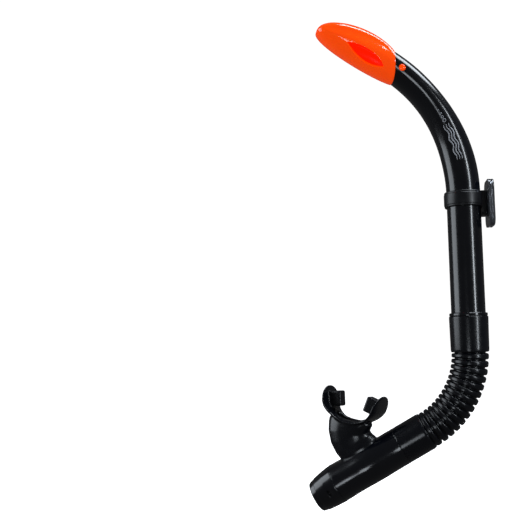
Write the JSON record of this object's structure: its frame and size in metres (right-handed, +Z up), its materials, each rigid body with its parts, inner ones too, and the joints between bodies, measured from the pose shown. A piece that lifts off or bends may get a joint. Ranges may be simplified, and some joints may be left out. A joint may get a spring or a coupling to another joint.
{
  "type": "snorkel tube",
  "caption": "Curved snorkel with a vented splash guard, sliding strap keeper, ribbed swivel hose, valved purge chamber and a silicone mouthpiece with bite lugs",
  "frame": {"origin": "on the axis of the barrel's straight stretch, at the middle height of the strap keeper", "axes": "+Z up the straight barrel, -X the way that the barrel's top bends, +Y across the bend's plane, away from the side with the strap clip's open face"},
  "size_m": [0.1461, 0.0691, 0.3701],
  "materials": {
    "barrel_plastic": "glossy moulded PVC",
    "guard_plastic": "glossy moulded plastic, faintly translucent",
    "keeper_plastic": "satin moulded plastic",
    "clear_plastic": "smoke-tinted clear plastic",
    "hose_silicone": "glossy silicone",
    "seat_plastic": "satin moulded plastic",
    "valve_silicone": "soft silicone",
    "mouth_silicone": "glossy silicone"
  },
  "bodies": {
    "barrel": {"barrel": "barrel_plastic", "splash_guard": "guard_plastic"},
    "keeper": {"keeper_ring": "keeper_plastic"},
    "clip": {"strap_clip": "clear_plastic"},
    "hose": {"flex_hose": "hose_silicone"},
    "chamber": {"purge_chamber": "barrel_plastic", "purge_cap": "barrel_plastic", "valve_seat": "seat_plastic", "mouthpiece": "mouth_silicone"},
    "valve_near": {"purge_valve_near": "valve_silicone"},
    "valve_far": {"purge_valve_far": "valve_silicone"}
  },
  "joints": [
    {"name": "keeper_slide", "type": "slide", "parent": "barrel", "child": "keeper", "axis": [0, 0, 1], "range_m": [-0.072, 0.0015]},
    {"name": "clip_release", "type": "slide", "parent": "keeper", "child": "clip", "axis": [0, 0, 1], "range_m": [0, 0.018]},
    {"name": "hose_swivel", "type": "hinge", "parent": "barrel", "child": "hose", "pos_m": [0, 0, -0.1], "axis": [0, 0, 1], "range_deg": [-110, 110]},
    {"name": "hose_bend", "type": "hinge", "parent": "hose", "child": "chamber", "pos_m": [0, 0, -0.15557], "axis": [0.309, 0.9511, 0], "range_deg": [-50, 25], "stiffness_Nm_per_rad": 0.3, "springref_deg": 6.3, "deforming": ["flex_hose"]},
    {"name": "near_valve_lift", "type": "slide", "parent": "chamber", "child": "valve_near", "axis": [-0.8278, 0.269, -0.4924], "range_m": [0, 0.0015], "stiffness_N_per_m": 40, "springref_m": -0.0004},
    {"name": "far_valve_lift", "type": "slide", "parent": "chamber", "child": "valve_far", "axis": [-0.8278, 0.269, -0.4924], "range_m": [0, 0.0015], "stiffness_N_per_m": 40, "springref_m": -0.0004}
  ]
}
